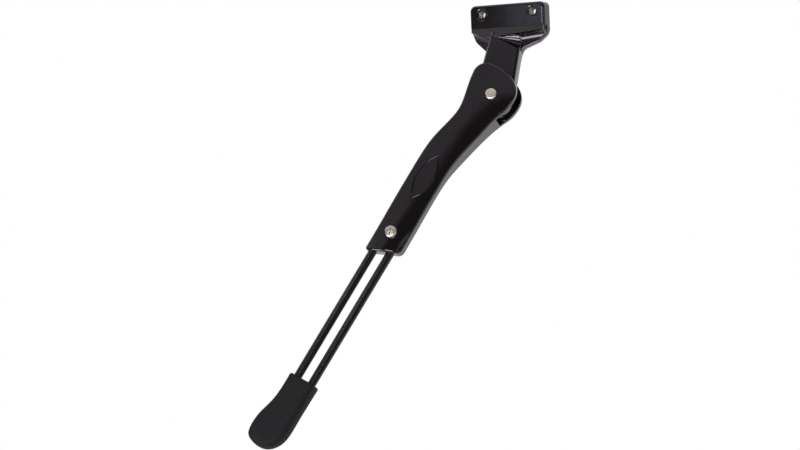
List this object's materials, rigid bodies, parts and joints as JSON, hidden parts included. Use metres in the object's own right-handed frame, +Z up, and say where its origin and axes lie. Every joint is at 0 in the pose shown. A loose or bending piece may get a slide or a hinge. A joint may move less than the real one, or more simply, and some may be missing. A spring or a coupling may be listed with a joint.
{
  "type": "bicycle kickstand",
  "caption": "Black rear-mount bicycle kickstand: cast head with tapped holes, folding cast leg with a spring detent, sliding steel rods set by a clamp screw, and a rubber foot.",
  "frame": {"origin": "midway between the two mounting holes, on the mount face", "axes": "+X to the rear of the bicycle, +Y out of the mount face towards the bicycle's frame, +Z up"},
  "size_m": [0.1854, 0.1363, 0.3098],
  "materials": {
    "gloss_black_paint": "gloss",
    "satin_black_paint": "satin",
    "bright_steel": "bright plated",
    "plain_steel": "plain",
    "black_rubber": "matte moulded"
  },
  "bodies": {
    "head": {"mount_head": "gloss_black_paint"},
    "leg": {"leg_housing": "gloss_black_paint", "pivot_rivet": "bright_steel", "pivot_washers": "plain_steel", "detent_spring": "plain_steel"},
    "plunger": {"detent_plunger": "plain_steel"},
    "rods": {"leg_rods": "satin_black_paint", "rubber_foot": "black_rubber"},
    "plate": {"clamp_plate": "plain_steel"},
    "screw": {"clamp_screw": "bright_steel"}
  },
  "joints": [
    {"name": "leg_fold", "type": "hinge", "parent": "head", "child": "leg", "pos_m": [-0.0078, -0.018, -0.061], "axis": [0.2326, -0.9327, 0.2756], "range_deg": [0, 112]},
    {"name": "leg_length", "type": "slide", "parent": "leg", "child": "rods", "axis": [0.4274, 0.3526, 0.8325], "range_m": [-0.02, 0.02]},
    {"name": "clamp_screw_turn", "type": "hinge", "parent": "leg", "child": "screw", "pos_m": [-0.06913, -0.06137, -0.15601], "axis": [0.2326, -0.9327, 0.2756], "range_deg": [0, 720]},
    {"name": "clamp_plate_slide", "type": "slide", "parent": "leg", "child": "plate", "axis": [-0.2326, 0.9327, -0.2756], "range_m": [0, 0.0016]},
    {"name": "plunger_slide", "type": "slide", "parent": "leg", "child": "plunger", "axis": [-0.5862, -0.3606, -0.7255], "range_m": [-0.0005, 0.0025], "stiffness_N_per_m": 600, "deforming": ["detent_spring"]}
  ],
  "couplings": [
    {"joint": "clamp_screw_turn", "follows": "clamp_plate_slide", "rad_per_m": 7854}
  ]
}
